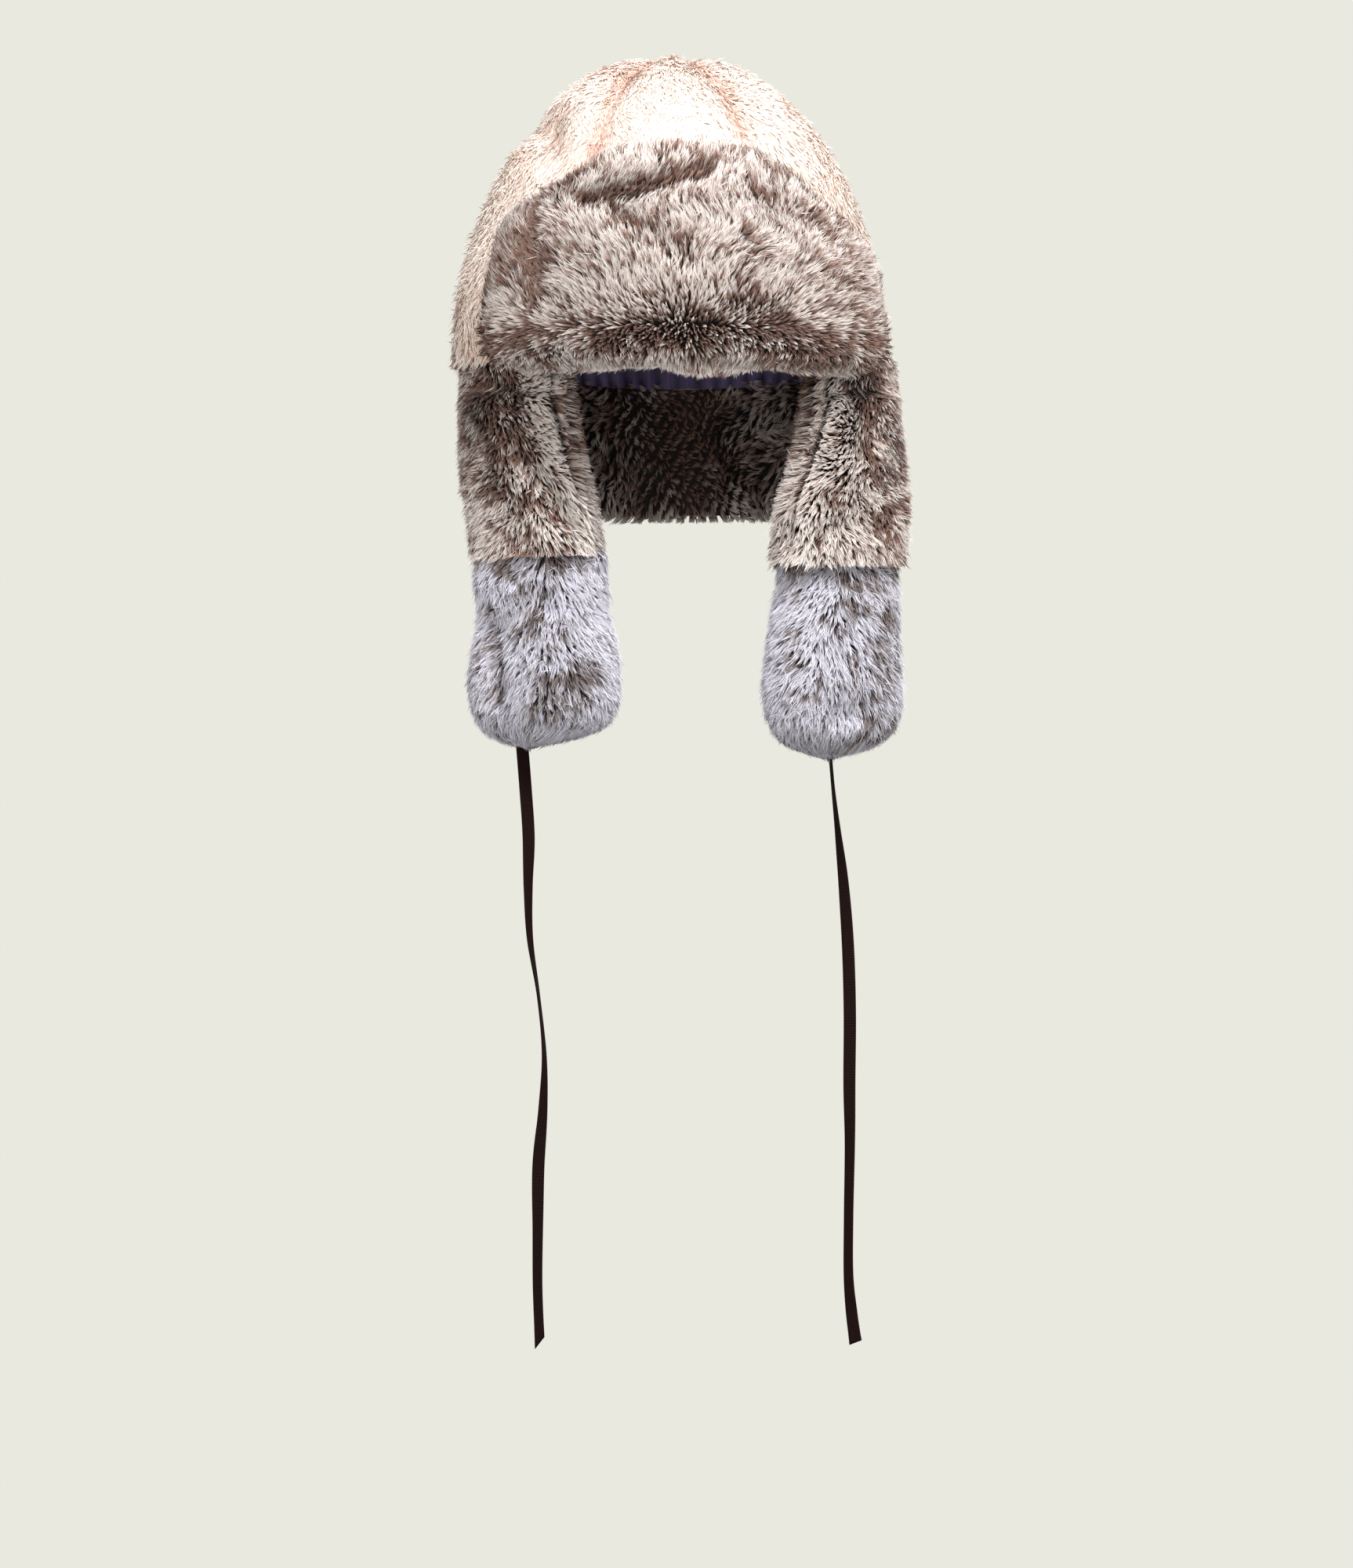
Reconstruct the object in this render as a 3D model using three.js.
// A faux-fur trapper hat: a six-gore fur crown over a pleated satin lining, a turned-up front flap,
// two fur ear flaps that end in padded fur ends with ribbon ties, and a fur neck flap.
// Millimetres, +Z up. The origin is the middle of the head opening, on the plane of the rim.
// The front of the hat faces -Y, and left and right are those of someone who looks at that front.
import * as THREE from 'three';

// The head hollow, measured inside the lining
const headHalfWidth = 90;
const headHalfDepth = 101;
const headHeight = 136;
const liningWall = 2;
const pleatDepth = 1.3;
const pleatPitch = 9.8;
const pleatRise = 26;
const pleatFade = 0.25;

// Pieces that touch keep this gap
const clearance = 0.3;

// The crown, which leans a little to the left as it rises
const panelCount = 6;
const panelTipRadius = 1.3;
const crownCloth = 3;
const crownPile = 14;
const crownPuff = 1.5;
const seamWidth = 9;
const seamDip = 0.42;
const crownLean = 4;
const crownLeanBend = 1.5;

// The front flap, turned up against the crown
const frontFlapRise = 87;
const frontFlapDrop = 14.5;
const frontFlapCloth = 3;
const frontFlapPile = 13;
const frontFlapSewnLeft = 29;
const frontFlapSewnRight = 36;
const sewnEdgeDrop = 10;
const sewnFadeDegrees = 8;
const frontFlapParting = 0.86;
const frontFlapSquareness = 9;
const seatTuck = 0.3;

// The crown's fur lies pressed under the front flap, and stands up again round it
const pressedPile = 0.42;
const pressedMarginDegrees = 3;
const pressedMarginRise = 10;
const pressedSquareness = 3;
const pressedFade = 1.35;

// The ear flaps and the neck flap, fur on both faces
const earFlapLength = { left: 98, right: 101.5 };
const earFlapThickness = 27;
const earFlapFlare = 34;
const neckFlapLength = 69;
const neckFlapThickness = 22;
const neckFlapRounding = { turn: 0.16, bend: 4 };
const neckFlapTaper = { share: 0.35, bend: 6 };
const flapPile = 9;
const flapSeat = 5;

// The padded fur ends below the ear flaps
const pawLength = { left: 90, right: 91.5 };
const pawHalfWidth = 39;
const pawHalfThickness = 21;
const pawPile = 9;
const pawDeepestPile = 0.6;
const pawFaceGirth = 2.2;
const pawRowEase = 1.3;

// How full each padded section is from edge to edge: a low value is flat with round edges
const roundness = { frontFlap: 0.5, earFlap: 0.5, neckFlap: 0.35, paw: 0.8 };

// The ribbon ties
const ribbonWidth = 6;
const ribbonThickness = 1;
const ribbonSteps = 38;

// The fur's locks
const crownLock = { width: 15, length: 17 };
const flapLock = { width: 13, length: 14.5 };
const pawLock = { width: 12.5, length: 12.5 };
const lockReach = 0.22;
const rootLift = 0.35;
const valleyLift = 0.6;
const lowestTip = 0.86;
const lockSway = 0.5;
const rootStep = 0.1;
const edgeTuck = 0.5;
const fewestLocks = { flap: 3, paw: 2 };
const facingSeam = 1;
const smoothStepWidth = 17;
const fewestFacets = 8;

const finishes = {
  creamFur: { color: 0xf0e4da, roughness: 0.95 },
  brownFur: { color: 0x8c7a6e, roughness: 0.95 },
  greyFur: { color: 0xbdb8c2, roughness: 0.95 },
  lining: { color: 0x5a4a78, roughness: 0.45 },
  ribbon: { color: 0x1c1413, roughness: 0.6 },
};

const shellHalfWidth = headHalfWidth + liningWall;
const shellHalfDepth = headHalfDepth + liningWall;
const shellHeight = headHeight + liningWall;
const shellGirth = Math.PI * (shellHalfWidth + shellHalfDepth);

// How far a flat facet of this width cuts inside a round wall
const facetSag = smoothStepWidth ** 2 / (8 * shellHalfWidth);
const panelSeat = clearance + 2 * facetSag;
const pressedOut = panelSeat + crownCloth + crownPile * pressedPile + crownPuff;
const frontFlapSeat = pressedOut + clearance + 2 * facetSag;

// The rows of facets that the lining and the crown's inner side share, as shares of the quarter turn
// from the rim to the top
const shellRises = [0, 0.12, 0.24, 0.38, 0.52, 0.66, 0.8, 0.92];

// The rows of facets of the front flap's inner side above the rim, as shares of its length
const frontFlapSeatRows = [0, 0.18, 0.36, 0.54, 0.7];

// The outline of the front flap from its top to its hem: its left and right edges in degrees from the front
const frontFlapOutline = [
  { down: 0.0, left: -12, right: 24 },
  { down: 0.06, left: -23, right: 31 },
  { down: 0.14, left: -31, right: 39 },
  { down: 0.22, left: -44, right: 45 },
  { down: 0.3, left: -54, right: 54 },
  { down: 0.4, left: -56, right: 62.5 },
  { down: 0.7, left: -58, right: 66 },
  { down: 0.87, left: -56, right: 63 },
  { down: 0.95, left: -48, right: 56 },
  { down: 1.0, left: -38, right: 45 },
];

// Sections of the ear flaps: front and rear edges in degrees from the front, and how far each edge
// stands out, as a share of the flare
const earFlapSections = {
  left: [
    { down: 0.0, front: 31, rear: 103, frontOut: 0.15, rearOut: 0.15 },
    { down: 0.25, front: 29.5, rear: 98, frontOut: 0.12, rearOut: 0.2 },
    { down: 0.5, front: 28, rear: 85, frontOut: 0.02, rearOut: 0.28 },
    { down: 0.75, front: 25.5, rear: 70, frontOut: -0.12, rearOut: 0.42 },
    { down: 1.0, front: 23.5, rear: 62, frontOut: -0.2, rearOut: 0.52 },
  ],
  right: [
    { down: 0.0, front: 39, rear: 103, frontOut: 0.15, rearOut: 0.15 },
    { down: 0.25, front: 37, rear: 98, frontOut: 0.12, rearOut: 0.24 },
    { down: 0.5, front: 34, rear: 86, frontOut: 0.06, rearOut: 0.4 },
    { down: 0.75, front: 29.5, rear: 72, frontOut: -0.04, rearOut: 0.62 },
    { down: 1.0, front: 28, rear: 63.5, frontOut: -0.06, rearOut: 0.78 },
  ],
};

// Sections of the fur ends: the middle as shares of the shell's half sizes, and the half width and
// half thickness as shares of the fur end's own
const pawSections = {
  left: [
    { down: 0.0, across: -0.72, forward: 0.72, half: 1.0, thick: 0.7 },
    { down: 0.14, across: -0.72, forward: 0.725, half: 0.94, thick: 0.82 },
    { down: 0.28, across: -0.705, forward: 0.73, half: 0.87, thick: 0.88 },
    { down: 0.45, across: -0.7, forward: 0.735, half: 0.95, thick: 0.96 },
    { down: 0.65, across: -0.7, forward: 0.74, half: 1.0, thick: 1.0 },
    { down: 0.82, across: -0.7, forward: 0.745, half: 0.96, thick: 0.92 },
    { down: 0.93, across: -0.72, forward: 0.745, half: 0.78, thick: 0.66 },
    { down: 1.0, across: -0.775, forward: 0.74, half: 0.4, thick: 0.3 },
  ],
  right: [
    { down: 0.0, across: 0.825, forward: 0.7, half: 0.92, thick: 0.7 },
    { down: 0.14, across: 0.825, forward: 0.705, half: 0.86, thick: 0.82 },
    { down: 0.3, across: 0.81, forward: 0.71, half: 0.86, thick: 0.9 },
    { down: 0.5, across: 0.8, forward: 0.72, half: 0.9, thick: 0.97 },
    { down: 0.7, across: 0.8, forward: 0.725, half: 0.92, thick: 1.0 },
    { down: 0.85, across: 0.8, forward: 0.73, half: 0.84, thick: 0.9 },
    { down: 0.94, across: 0.795, forward: 0.73, half: 0.66, thick: 0.66 },
    { down: 1.0, across: 0.785, forward: 0.725, half: 0.36, thick: 0.3 },
  ],
};
const pawTurn = { left: -21, right: 21 };

// Creases, each from one point of a face to another: across from -1 to 1, down from 0 to 1.
// Its width is a share of a lock's length and its depth a share of the pile
const crownCreases = {
  5: [
    { across: -1, down: 0.44, toAcross: 0.1, toDown: 0.47, width: 0.55, depth: 0.85 },
    { across: 0.1, down: 0.47, toAcross: 0.7, toDown: 0.6, width: 0.5, depth: 0.6 },
  ],
  4: [{ across: 0.3, down: 0.42, toAcross: 1, toDown: 0.44, width: 0.55, depth: 0.6 }],
};
const frontFlapCreases = [
  { across: -0.5, down: 0.3, toAcross: 0.3, toDown: 0.18, width: 0.5, depth: 0.6 },
  { across: -0.45, down: 0.34, toAcross: -0.02, toDown: 0.62, width: 0.45, depth: 0.35 },
  { across: 0.3, down: 0.2, toAcross: 0.75, toDown: 0.45, width: 0.5, depth: 0.35 },
  { across: -0.75, down: 0.3, toAcross: -0.65, toDown: 0.62, width: 0.6, depth: 0.4 },
];
const earFlapCreases = {
  left: [
    { across: 0.35, down: 0.15, toAcross: 0.45, toDown: 0.5, width: 0.6, depth: 0.5 },
    { across: 0.45, down: 0.5, toAcross: 0.6, toDown: 0.82, width: 0.6, depth: 0.5 },
  ],
  right: [
    { across: -0.35, down: 0.22, toAcross: -0.2, toDown: 0.4, width: 0.8, depth: 0.6 },
    { across: -0.35, down: 0.83, toAcross: 0.45, toDown: 0.83, width: 0.5, depth: 0.4 },
  ],
};
const neckFlapFolds = [
  { across: 0.16, down: 0.45, toAcross: 0.22, toDown: 1, width: 0.5, depth: 0.6 },
  { across: 0.09, down: 0.1, toAcross: 0.1, toDown: 0.7, width: 0.45, depth: 0.6 },
  { across: -0.03, down: 0.05, toAcross: -0.05, toDown: 1, width: 0.6, depth: 0.8 },
  { across: -0.14, down: 0.3, toAcross: -0.17, toDown: 1, width: 0.5, depth: 0.6 },
  { across: -0.24, down: 0.12, toAcross: -0.1, toDown: 0.16, width: 0.6, depth: 0.6 },
];
const pawCreases = {
  left: [
    { across: -0.55, down: 0.42, toAcross: 0.15, toDown: 0.2, width: 0.5, depth: 0.55 },
    { across: -0.6, down: 0.4, toAcross: -0.5, toDown: 0.72, width: 0.5, depth: 0.7 },
  ],
  right: [{ across: -0.2, down: 0.78, toAcross: 0.2, toDown: 0.76, width: 0.5, depth: 0.4 }],
};

// The ties' routes, with the ribbon's turn in degrees from facing the front
const tieRoutes = {
  left: [
    { x: -74.8, y: -76.5, z: -188.9, turn: 8 },
    { x: -73.2, y: -77, z: -209, turn: 6 },
    { x: -71.7, y: -77.5, z: -232, turn: 14 },
    { x: -71.9, y: -78, z: -257, turn: 48 },
    { x: -71, y: -78, z: -281, turn: 66 },
    { x: -67, y: -77.5, z: -308, turn: 82 },
    { x: -64.3, y: -77, z: -336, turn: 74 },
    { x: -64.9, y: -77, z: -362, turn: 46 },
    { x: -67, y: -77.5, z: -389, turn: 14 },
    { x: -67.3, y: -78, z: -418, turn: 33 },
    { x: -67.4, y: -78, z: -446, turn: 42 },
    { x: -66.4, y: -78, z: -473.5, turn: 42 },
  ],
  right: [
    { x: 72.4, y: -75, z: -193.9, turn: -82 },
    { x: 73.8, y: -75.5, z: -210, turn: -80 },
    { x: 76, y: -76, z: -230, turn: -66 },
    { x: 78.6, y: -76.5, z: -254, turn: -36 },
    { x: 80.7, y: -77, z: -284, turn: -14 },
    { x: 81.6, y: -77, z: -316, turn: -8 },
    { x: 81.4, y: -77, z: -350, turn: -16 },
    { x: 81.6, y: -77.5, z: -378, turn: -36 },
    { x: 81, y: -78, z: -412, turn: -44 },
    { x: 80.9, y: -78, z: -440, turn: -42 },
    { x: 82.3, y: -78, z: -458, turn: -24 },
    { x: 84.3, y: -78, z: -473.5, turn: -8 },
  ],
};
const tieCutSlant = { left: -0.9, right: -0.4 };

// A repeatable scatter between 0 and 1
function scatter(row, lock, salt) {
  const wave = Math.sin(row * 12.9898 + lock * 78.233 + salt * 37.719) * 43758.5453;
  return wave - Math.floor(wave);
}

// A smooth curve through one column of a table
function tableCurve(rows, column, scale = 1) {
  const places = rows.map((row) => row.down);
  const values = rows.map((row) => row[column] * scale);
  const curve = new THREE.CubicInterpolant(places, values, 1);
  return (down) => curve.evaluate(THREE.MathUtils.clamp(down, 0, 1))[0];
}

// A point of the hat's wall: round the head from the front, over the rim, and out from the lining
function shellPoint(azimuth, height, out) {
  const rise = Math.asin(THREE.MathUtils.clamp(height / shellHeight, 0, 1));
  const lean = crownLean * Math.sin(crownLeanBend * rise);
  return new THREE.Vector3(
    (shellHalfWidth + out) * Math.cos(rise) * Math.sin(azimuth) - lean,
    -(shellHalfDepth + out) * Math.cos(rise) * Math.cos(azimuth),
    height > 0 ? (shellHeight + out) * Math.sin(rise) : height,
  );
}

// How much of the pile stands up: less where the front flap presses on it
const leftmost = Math.min(...frontFlapOutline.map((row) => row.left));
const rightmost = Math.max(...frontFlapOutline.map((row) => row.right));
const pressedMiddle = (leftmost + rightmost) / 2;
const pressedHalf = (rightmost - leftmost) / 2 + pressedMarginDegrees;

function pressedShare(azimuth, height) {
  const across = Math.abs(THREE.MathUtils.radToDeg(azimuth) - pressedMiddle) / pressedHalf;
  const up = Math.max(height, 0) / (frontFlapRise + pressedMarginRise);
  const away = (across ** pressedSquareness + up ** pressedSquareness) ** (1 / pressedSquareness);
  const deep = Math.max(0, -frontFlapDrop - height) / frontFlapDrop;
  return THREE.MathUtils.lerp(pressedPile, 1, THREE.MathUtils.smoothstep(away + deep, 1, pressedFade));
}

// How much of the pile the creases leave at a point of a face
function creasedShare(creases, across, down, halfWidth, length, lockLength) {
  const point = new THREE.Vector3(across * halfWidth, down * length, 0);
  let share = 1;
  for (const crease of creases) {
    const start = new THREE.Vector3(crease.across * halfWidth, crease.down * length, 0);
    const end = new THREE.Vector3(crease.toAcross * halfWidth, crease.toDown * length, 0);
    const nearest = new THREE.Line3(start, end).closestPointToPoint(point, true, new THREE.Vector3());
    const distance = nearest.distanceTo(point) / (crease.width * lockLength);
    share *= 1 - crease.depth * Math.exp(-(distance ** 2));
  }
  return share;
}

// Collects a body's corners and triangles
class Body {
  constructor() {
    this.corners = [];
    this.triangles = [];
  }

  // A corner, with its place along the row that it belongs to
  corner(point, at) {
    this.corners.push(point.x, point.y, point.z);
    return { index: this.corners.length / 3 - 1, at };
  }

  // Triangles between two rows of corners: seen from outside, b lies on the right of a walk along a
  strip(a, b) {
    let i = 0;
    let j = 0;
    while (i < a.length - 1 || j < b.length - 1) {
      const alongA = j === b.length - 1 || (i < a.length - 1 && a[i + 1].at <= b[j + 1].at);
      if (alongA) {
        this.triangles.push(a[i].index, b[j].index, a[i + 1].index);
        i += 1;
      } else {
        this.triangles.push(a[i].index, b[j].index, b[j + 1].index);
        j += 1;
      }
    }
  }

  geometry() {
    const geometry = new THREE.BufferGeometry();
    geometry.setAttribute('position', new THREE.Float32BufferAttribute(this.corners, 3));
    geometry.setIndex(this.triangles);
    geometry.computeVertexNormals();
    return geometry;
  }
}

// A face covered in rows of overlapping locks, laid from one row of roots to the last row of tips.
// place(across, down, lift) gives the point at a share of the pile, and locksAt(down) the lock count
function furFace(body, { place, locksAt, rows, from = 0, to = 1, ease = 1, outward, salt, first }) {
  const rowPlace = (row) => from + (to - from) * (1 - (1 - row / rows) ** ease);
  const down = to > from;
  const join = (before, after) => (down === outward ? body.strip(before, after) : body.strip(after, before));
  let roots = first;
  let lastRow = [];
  const left = [];
  const right = [];
  let topRow = null;
  for (let row = 0; row < rows; row += 1) {
    const start = rowPlace(row);
    const end = rowPlace(row + 1);
    const locks = locksAt((start + end) / 2);
    const rootDown = row === 0 ? start : start + (end - start) * rootStep;
    const rootCount = row === 0 ? locksAt(start) : locks;
    if (!roots) {
      roots = [];
      for (let lock = 0; lock <= rootCount; lock += 1) {
        const across = -1 + (2 * lock) / rootCount;
        roots.push(body.corner(place(across, rootDown, rootLift), across));
      }
    }
    if (row === 0) topRow = roots;
    else join(lastRow, roots);
    const reach = row === rows - 1 ? 0 : lockReach;
    const tips = [];
    for (let half = 0; half <= 2 * locks; half += 1) {
      const isTip = half % 2 === 1;
      const isEdge = half === 0 || half === 2 * locks;
      const sway = isTip ? lockSway * (scatter(row, half, salt) - 0.5) : 0;
      const across = -1 + (half + sway) / locks;
      const long = isTip ? reach * (0.5 + scatter(row, half, salt + 1)) : 0;
      const tipLift = THREE.MathUtils.lerp(lowestTip, 1, scatter(row, half, salt + 2));
      const lift = isTip ? tipLift : isEdge ? 1 : valleyLift;
      const tipDown = end + (end - start) * long;
      tips.push(body.corner(place(across, tipDown, lift), across));
    }
    join(roots, tips);
    left.push({ index: roots[0].index, at: rootDown }, { index: tips[0].index, at: end });
    right.push({ index: roots.at(-1).index, at: rootDown }, { index: tips.at(-1).index, at: end });
    lastRow = tips;
    roots = null;
  }
  return { top: topRow, bottom: lastRow, left, right };
}

// A smooth face with a few rows, for the side that lies against another piece
function smoothFace(body, { place, columns, downs, outward }) {
  const rows = downs.map((down) => {
    const row = [];
    for (let column = 0; column <= columns; column += 1) {
      const across = -1 + (2 * column) / columns;
      row.push(body.corner(place(across, down), across));
    }
    return row;
  });
  for (let row = 0; row < rows.length - 1; row += 1) {
    if (outward) body.strip(rows[row], rows[row + 1]);
    else body.strip(rows[row + 1], rows[row]);
  }
  const side = (end) => rows.map((row, k) => ({ index: row.at(end).index, at: downs[k] }));
  return { top: rows[0], bottom: rows.at(-1), left: side(0), right: side(-1) };
}

// The four narrow walls between an outer and an inner face
function closeEdges(body, outer, inner) {
  body.strip(inner.top, outer.top);
  body.strip(outer.bottom, inner.bottom);
  body.strip(outer.left, inner.left);
  body.strip(inner.right, outer.right);
}

function makeMesh(name, body, finish) {
  const mesh = new THREE.Mesh(body.geometry(), new THREE.MeshStandardMaterial(finish));
  mesh.name = name;
  return mesh;
}

// One closed ring of a dome: corners that end where they start
function domeRing(body, count, height, outAt) {
  const ring = [];
  for (let k = 0; k < count; k += 1) {
    ring.push(body.corner(shellPoint((2 * Math.PI * k) / count, height, outAt(k)), k / count));
  }
  ring.push({ index: ring[0].index, at: 1 });
  return ring;
}

// The lining: a smooth outer face under the crown, and an inner face that is pleated at the rim
function makeLining() {
  const body = new Body();
  const pleats = Math.round(shellGirth / pleatPitch);
  const around = Math.round(shellGirth / smoothStepWidth);
  const ringCount = (height) => {
    const share = Math.sqrt(1 - (height / shellHeight) ** 2);
    return Math.max(fewestFacets, Math.round(around * share));
  };
  const outerHeights = shellRises.map((rise) => shellHeight * Math.sin((rise * Math.PI) / 2));
  const outer = outerHeights.map((height) => domeRing(body, ringCount(height), height, () => 0));
  const innerRows = [
    { height: 0, count: 2 * pleats, depth: pleatDepth },
    { height: pleatRise / 2, count: 2 * pleats, depth: pleatDepth },
    { height: pleatRise, count: 2 * pleats, depth: pleatDepth * pleatFade },
    ...outerHeights.slice(2).map((height) => ({ height, count: ringCount(height), depth: 0 })),
  ];
  const inner = innerRows.map(({ height, count, depth }) =>
    domeRing(body, count, height, (k) => -liningWall - (k % 2) * depth));
  const outerTop = [body.corner(shellPoint(0, shellHeight, 0), 0)];
  const innerTop = [body.corner(shellPoint(0, shellHeight, -liningWall), 0)];
  [...outer, outerTop].reduce((below, above) => (body.strip(above, below), above));
  [...inner, innerTop].reduce((below, above) => (body.strip(below, above), above));
  body.strip(outer[0], inner[0]);
  return makeMesh('lining', body, finishes.lining);
}

// One gore of the crown: fur outside, smooth inside, between two seam planes
function makeCrownPanel(number) {
  const body = new Body();
  const middle = (2 * Math.PI * number) / panelCount;
  const topRise = Math.acos(panelTipRadius / shellHalfWidth);
  const length = topRise * (shellHalfDepth + crownPile);
  const heightAt = (down) => shellHeight * Math.sin(topRise * (1 - Math.min(down, 1)));
  const radiusAt = (down, out) => (shellHalfWidth + out) * Math.cos(topRise * (1 - Math.min(down, 1)));
  const halfTurnAt = (down, out) => Math.PI / panelCount - Math.asin(clearance / 2 / radiusAt(down, out));
  const halfWidthAt = (down) => radiusAt(down, crownPile) * halfTurnAt(down, crownPile);
  const creases = crownCreases[number] ?? [];
  const place = (across, down, lift) => {
    const height = heightAt(down);
    const azimuth = middle + across * halfTurnAt(down, 0);
    const fromFront = THREE.MathUtils.euclideanModulo(azimuth + Math.PI, 2 * Math.PI) - Math.PI;
    const seamDistance = (1 - Math.abs(across)) * halfWidthAt(down);
    const seamShare = 1 - seamDip * Math.exp(-((seamDistance / seamWidth) ** 2));
    const creaseShare = creasedShare(creases, across, down, halfWidthAt(down), length, crownLock.length);
    const pile = crownPile * lift * seamShare * creaseShare;
    const puff = crownPuff * (1 - across ** 2);
    const out = panelSeat + crownCloth + (pile + puff) * pressedShare(fromFront, height);
    return shellPoint(azimuth, height, out);
  };
  const seat = (across, down) =>
    shellPoint(middle + across * halfTurnAt(down, 0), heightAt(down), panelSeat);
  const outer = furFace(body, {
    place,
    locksAt: (down) => Math.max(1, Math.round((2 * halfWidthAt(down)) / crownLock.width)),
    rows: Math.round(length / crownLock.length),
    outward: true,
    salt: number * 3,
  });
  const columns = Math.round((2 * halfWidthAt(1)) / smoothStepWidth);
  const downs = [0, ...shellRises.map((rise) => 1 - (rise * Math.PI) / 2 / topRise).toReversed()];
  const inner = smoothFace(body, { place: seat, columns, downs, outward: false });
  closeEdges(body, outer, inner);
  return makeMesh(`crown_panel_${number + 1}`, body, finishes.creamFur);
}

// The front flap: fur parts just above the hem and runs up and down from there
function makeFrontFlap() {
  const body = new Body();
  const length = frontFlapRise + frontFlapDrop;
  const thickness = frontFlapCloth + frontFlapPile;
  const leftAt = tableCurve(frontFlapOutline, 'left', THREE.MathUtils.DEG2RAD);
  const rightAt = tableCurve(frontFlapOutline, 'right', THREE.MathUtils.DEG2RAD);
  const radius = shellHalfWidth + frontFlapSeat;
  const heightAt = (down) => frontFlapRise - down * length;
  const halfWidthAt = (down) => (radius * (rightAt(down) - leftAt(down))) / 2;
  const hemShape = (down) => Math.sqrt(Math.max(0, 1 - Math.abs(2 * down - 1) ** frontFlapSquareness));
  const azimuthAt = (across, down, depth) => {
    const half = (rightAt(down) - leftAt(down)) / 2 - depth / radius;
    return (leftAt(down) + rightAt(down)) / 2 + across * half;
  };
  const place = (angle, down, lift) => {
    const across = Math.sin((angle * Math.PI) / 2);
    const shape = Math.max(Math.cos((angle * Math.PI) / 2), 0) ** roundness.frontFlap * hemShape(down);
    const share = creasedShare(frontFlapCreases, across, down, halfWidthAt(0.5), length, flapLock.length);
    const depth = frontFlapPile * (1 - lift * share);
    const out = frontFlapSeat + facingSeam + (thickness - facingSeam - depth) * shape;
    return shellPoint(azimuthAt(across, down, depth * edgeTuck), heightAt(down), out);
  };
  const ledge = frontFlapRise / length + clearance / length;
  const sewnEdge = (frontFlapRise + sewnEdgeDrop) / length;
  const downs = [...frontFlapSeatRows, ledge, ledge + clearance / length, sewnEdge, 1];
  const seat = (angle, down) => {
    const across = Math.sin((angle * Math.PI) / 2);
    const azimuth = azimuthAt(across, down, frontFlapPile * seatTuck);
    const degrees = THREE.MathUtils.radToDeg(azimuth);
    const inside = Math.min(degrees + frontFlapSewnLeft, frontFlapSewnRight - degrees);
    const isTongue = down > ledge && down < 1;
    const sewn = isTongue ? THREE.MathUtils.smoothstep(inside, 0, sewnFadeDegrees) : 0;
    return shellPoint(azimuth, heightAt(down), THREE.MathUtils.lerp(frontFlapSeat, -liningWall / 2, sewn));
  };
  const locksAt = (down) => Math.max(fewestLocks.flap, Math.round((2 * halfWidthAt(down)) / flapLock.width));
  const upper = furFace(body, {
    place,
    locksAt,
    rows: Math.round((frontFlapParting * length) / flapLock.length),
    from: frontFlapParting,
    to: 0,
    outward: true,
    salt: 31,
  });
  const lower = furFace(body, {
    place,
    locksAt,
    rows: 1,
    from: frontFlapParting,
    to: 1,
    outward: true,
    salt: 37,
    first: upper.top,
  });
  const side = (end) => [...upper[end].toReversed(), ...lower[end].slice(1)];
  const outer = { top: upper.bottom, bottom: lower.bottom, left: side('left'), right: side('right') };
  const columns = Math.round((2 * halfWidthAt(0.5)) / smoothStepWidth);
  const inner = smoothFace(body, { place: seat, columns, downs, outward: false });
  closeEdges(body, outer, inner);
  return makeMesh('front_flap', body, finishes.brownFur);
}

// A hanging flap with fur on both faces. edgesAt(down) gives its edges in radians and how far each
// stands out, thicknessAt(down) its full thickness, and fullness how flat it is
function makeHangingFlap(name, { length, edgesAt, thicknessAt, fullness, outerCreases, innerCreases, salt }) {
  const body = new Body();
  const halfWidthAt = (down) => {
    const edge = edgesAt(down);
    return (shellHalfWidth * (edge.right - edge.left)) / 2;
  };
  const place = (facing) => (angle, down, lift) => {
    const across = Math.sin((angle * Math.PI) / 2);
    const edge = edgesAt(down);
    const creases = facing > 0 ? outerCreases : innerCreases;
    const share = creasedShare(creases, across, down, halfWidthAt(0.4), length, flapLock.length);
    const depth = flapPile * (1 - lift * share);
    const half = (edge.right - edge.left) / 2 - depth / shellHalfWidth;
    const azimuth = (edge.left + edge.right) / 2 + across * half;
    const height = -clearance - down * length;
    const shape = Math.max(Math.cos((angle * Math.PI) / 2), 0) ** fullness;
    const thick = facingSeam + (thicknessAt(down) / 2 - facingSeam - depth) * shape;
    const pressed = facing > 0 ? pressedShare(azimuth, height) : 1;
    const middle = THREE.MathUtils.lerp(edge.leftOut, edge.rightOut, (across + 1) / 2);
    return shellPoint(azimuth, height, middle + facing * thick * pressed);
  };
  const [outer, inner] = [1, -1].map((facing) => furFace(body, {
    place: place(facing),
    locksAt: (down) => Math.max(fewestLocks.flap, Math.round((2 * halfWidthAt(down)) / flapLock.width)),
    rows: Math.round(length / flapLock.length),
    outward: facing > 0,
    salt: salt + 5 * facing,
  }));
  closeEdges(body, outer, inner);
  return makeMesh(name, body, finishes.brownFur);
}

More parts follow.
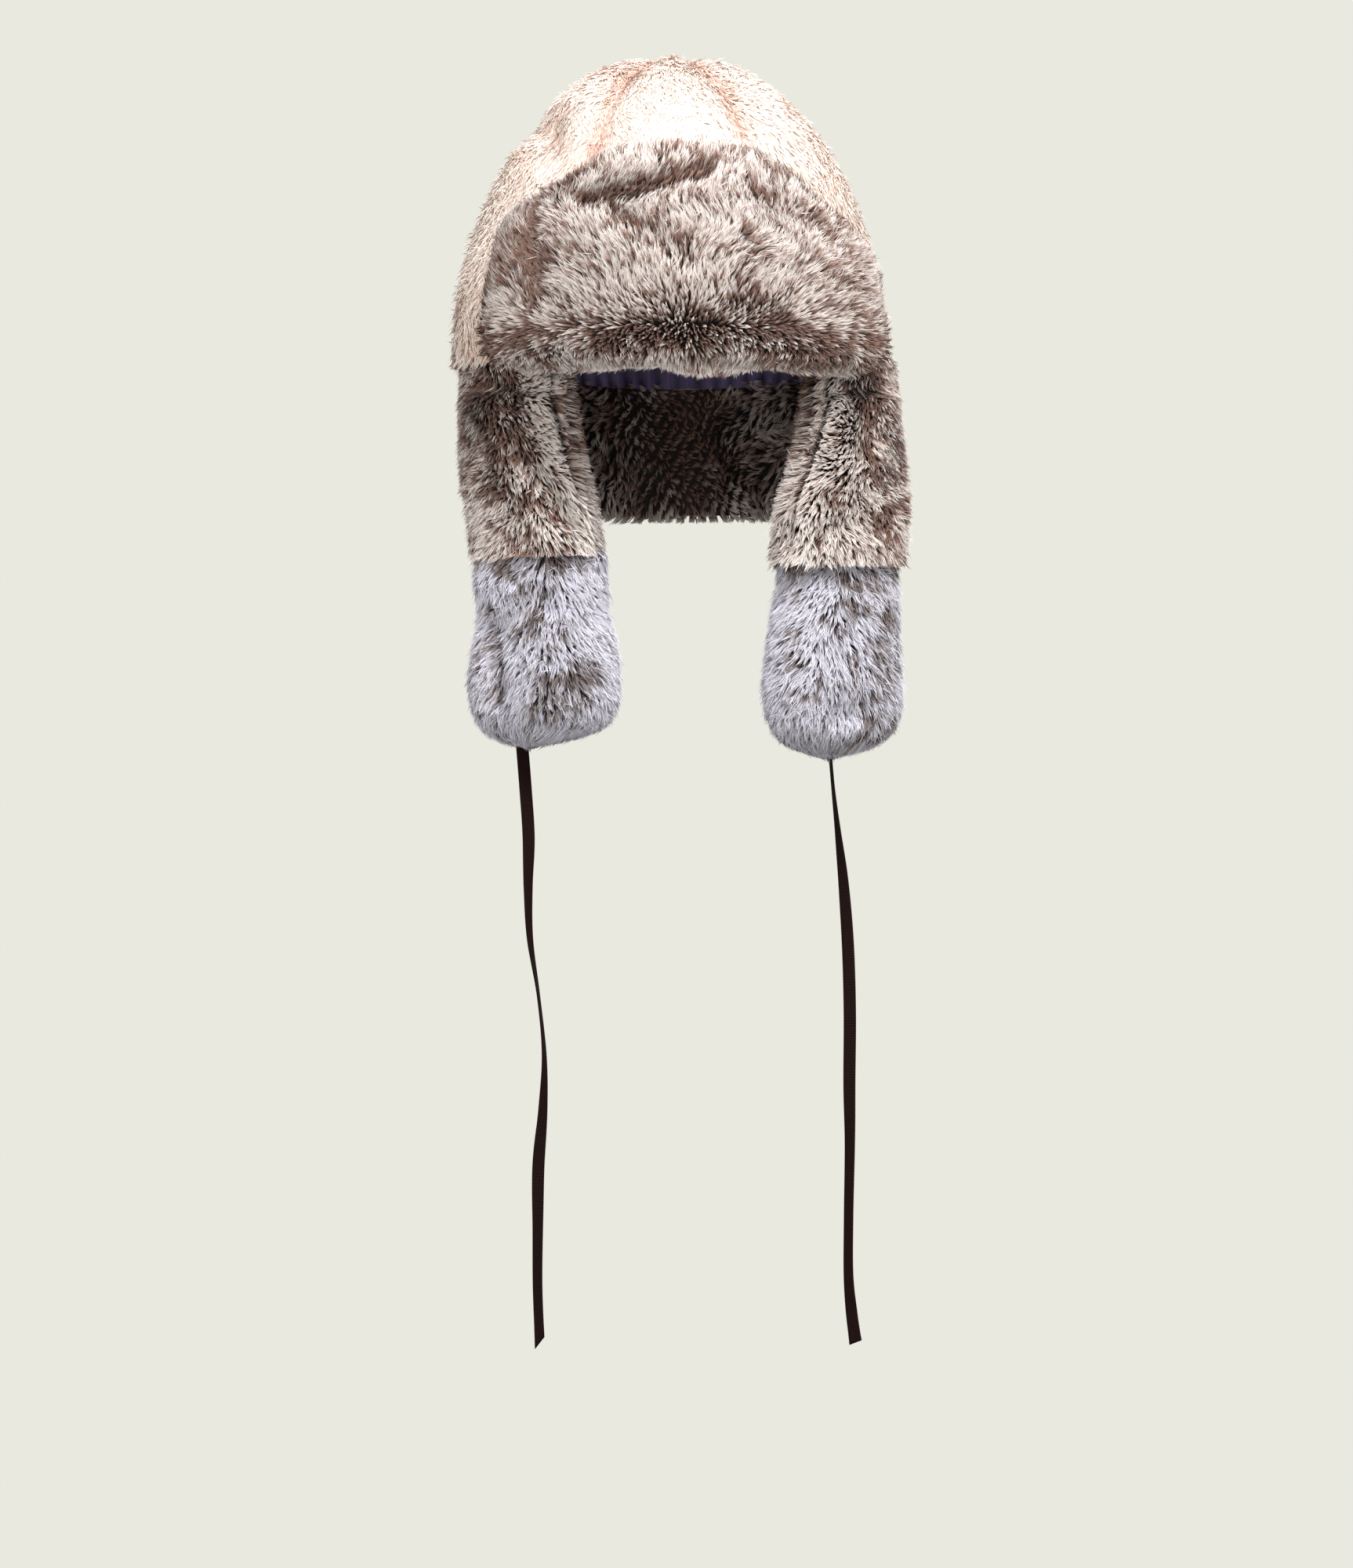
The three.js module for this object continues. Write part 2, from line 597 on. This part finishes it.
// An ear flap: follows the rim at its top and turns to face the front as it hangs
function makeEarFlap(side) {
  const rows = earFlapSections[side];
  const sign = side === 'left' ? -1 : 1;
  const front = tableCurve(rows, 'front', sign * THREE.MathUtils.DEG2RAD);
  const rear = tableCurve(rows, 'rear', sign * THREE.MathUtils.DEG2RAD);
  const frontOut = tableCurve(rows, 'frontOut', earFlapFlare);
  const rearOut = tableCurve(rows, 'rearOut', earFlapFlare);
  const edgesAt = (down) => (side === 'left'
    ? { left: rear(down), right: front(down), leftOut: rearOut(down), rightOut: frontOut(down) }
    : { left: front(down), right: rear(down), leftOut: frontOut(down), rightOut: rearOut(down) });
  return makeHangingFlap(`ear_flap_${side}`, {
    length: earFlapLength[side],
    edgesAt,
    thicknessAt: () => earFlapThickness,
    fullness: roundness.earFlap,
    outerCreases: earFlapCreases[side],
    innerCreases: [],
    salt: 43 + 13 * sign,
  });
}

// The neck flap: a curtain round the back, with upright folds on its inner face
function makeNeckFlap() {
  const gap = (2 * clearance) / shellHalfWidth;
  const rearOf = (side) => THREE.MathUtils.degToRad(earFlapSections[side][0].rear) + gap;
  const edgesAt = (down) => {
    const rounding = neckFlapRounding.turn * down ** neckFlapRounding.bend;
    const left = rearOf('right') + rounding;
    const right = 2 * Math.PI - rearOf('left') - rounding;
    return { left, right, leftOut: flapSeat, rightOut: flapSeat };
  };
  return makeHangingFlap('neck_flap', {
    length: neckFlapLength,
    edgesAt,
    thicknessAt: (down) => neckFlapThickness * (1 - neckFlapTaper.share * down ** neckFlapTaper.bend),
    fullness: roundness.neckFlap,
    outerCreases: [],
    innerCreases: neckFlapFolds,
    salt: 71,
  });
}

// A padded fur end, which hangs below an ear flap
function makePaw(side) {
  const body = new Body();
  const rows = pawSections[side];
  const across = tableCurve(rows, 'across', shellHalfWidth);
  const forward = tableCurve(rows, 'forward', shellHalfDepth);
  const half = tableCurve(rows, 'half', pawHalfWidth);
  const thick = tableCurve(rows, 'thick', pawHalfThickness);
  const length = pawLength[side];
  const top = earFlapLength[side] + 2 * clearance;
  const turn = THREE.MathUtils.degToRad(pawTurn[side]);
  const place = (facing) => (angle, down, lift) => {
    const theta = (angle * Math.PI) / 2;
    const creases = facing > 0 ? pawCreases[side] : [];
    const share = creasedShare(creases, Math.sin(theta), down, half(down), length, pawLock.length);
    const deepest = pawDeepestPile * Math.min(half(down), thick(down));
    const depth = Math.min(pawPile * (1 - lift * share), deepest);
    const shape = Math.max(Math.cos(theta), 0) ** roundness.paw;
    const wide = (half(down) - depth) * Math.sin(theta);
    const deep = facing * (facingSeam + (thick(down) - facingSeam - depth) * shape);
    return new THREE.Vector3(
      across(down) + wide * Math.cos(turn) + deep * Math.sin(turn),
      -forward(down) + wide * Math.sin(turn) - deep * Math.cos(turn),
      -top - Math.min(down, 1) * length,
    );
  };
  const [outer, inner] = [1, -1].map((facing) => furFace(body, {
    place: place(facing),
    locksAt: (down) => Math.max(fewestLocks.paw, Math.round((pawFaceGirth * half(down)) / pawLock.width)),
    rows: Math.round(length / pawLock.length),
    ease: pawRowEase,
    outward: facing > 0,
    salt: 90 + 7 * facing + (side === 'left' ? 0 : 3),
  }));
  closeEdges(body, outer, inner);
  return makeMesh(`paw_${side}`, body, finishes.greyFur);
}

// The ribbon's section: a flat bar with eased corners, as shares of its width and thickness
const ribbonSection = [
  [0.5, 0.2], [0.44, 0.5], [-0.44, 0.5], [-0.5, 0.2],
  [-0.5, -0.2], [-0.44, -0.5], [0.44, -0.5], [0.5, -0.2],
];

// A ribbon tie: the flat section follows the route and turns with it, and its end is cut on a slant
function makeTie(side) {
  const body = new Body();
  const route = tieRoutes[side];
  const path = new THREE.CatmullRomCurve3(route.map(({ x, y, z }) => new THREE.Vector3(x, y, z)));
  const turns = new THREE.CatmullRomCurve3(route.map(({ turn }) => new THREE.Vector3(turn, 0, 0)));
  const rings = [];
  for (let step = 0; step <= ribbonSteps; step += 1) {
    const share = step / ribbonSteps;
    const middle = path.getPoint(share);
    const turn = THREE.MathUtils.degToRad(turns.getPoint(share).x);
    const slant = step === ribbonSteps ? tieCutSlant[side] : 0;
    const ring = ribbonSection.map(([wide, deep], k) => body.corner(new THREE.Vector3(
      middle.x + wide * ribbonWidth * Math.cos(turn) + deep * ribbonThickness * Math.sin(turn),
      middle.y + wide * ribbonWidth * Math.sin(turn) - deep * ribbonThickness * Math.cos(turn),
      middle.z + wide * ribbonWidth * -slant,
    ), k / ribbonSection.length));
    ring.push({ index: ring[0].index, at: 1 });
    rings.push(ring);
  }
  for (let step = 0; step < ribbonSteps; step += 1) body.strip(rings[step + 1], rings[step]);
  const cap = (ring, facingUp) => {
    const front = ring.slice(0, 4).map((corner, k) => ({ ...corner, at: k }));
    const back = ring.slice(4, 8).toReversed().map((corner, k) => ({ ...corner, at: k }));
    if (facingUp) body.strip(front, back);
    else body.strip(back, front);
  };
  cap(rings[0], true);
  cap(rings[ribbonSteps], false);
  return makeMesh(`tie_${side}`, body, finishes.ribbon);
}

const hat = new THREE.Group();
hat.add(makeLining());
for (let number = 0; number < panelCount; number += 1) hat.add(makeCrownPanel(number));
hat.add(makeFrontFlap());
for (const side of ['left', 'right']) hat.add(makeEarFlap(side), makePaw(side), makeTie(side));
hat.add(makeNeckFlap());

export default hat;
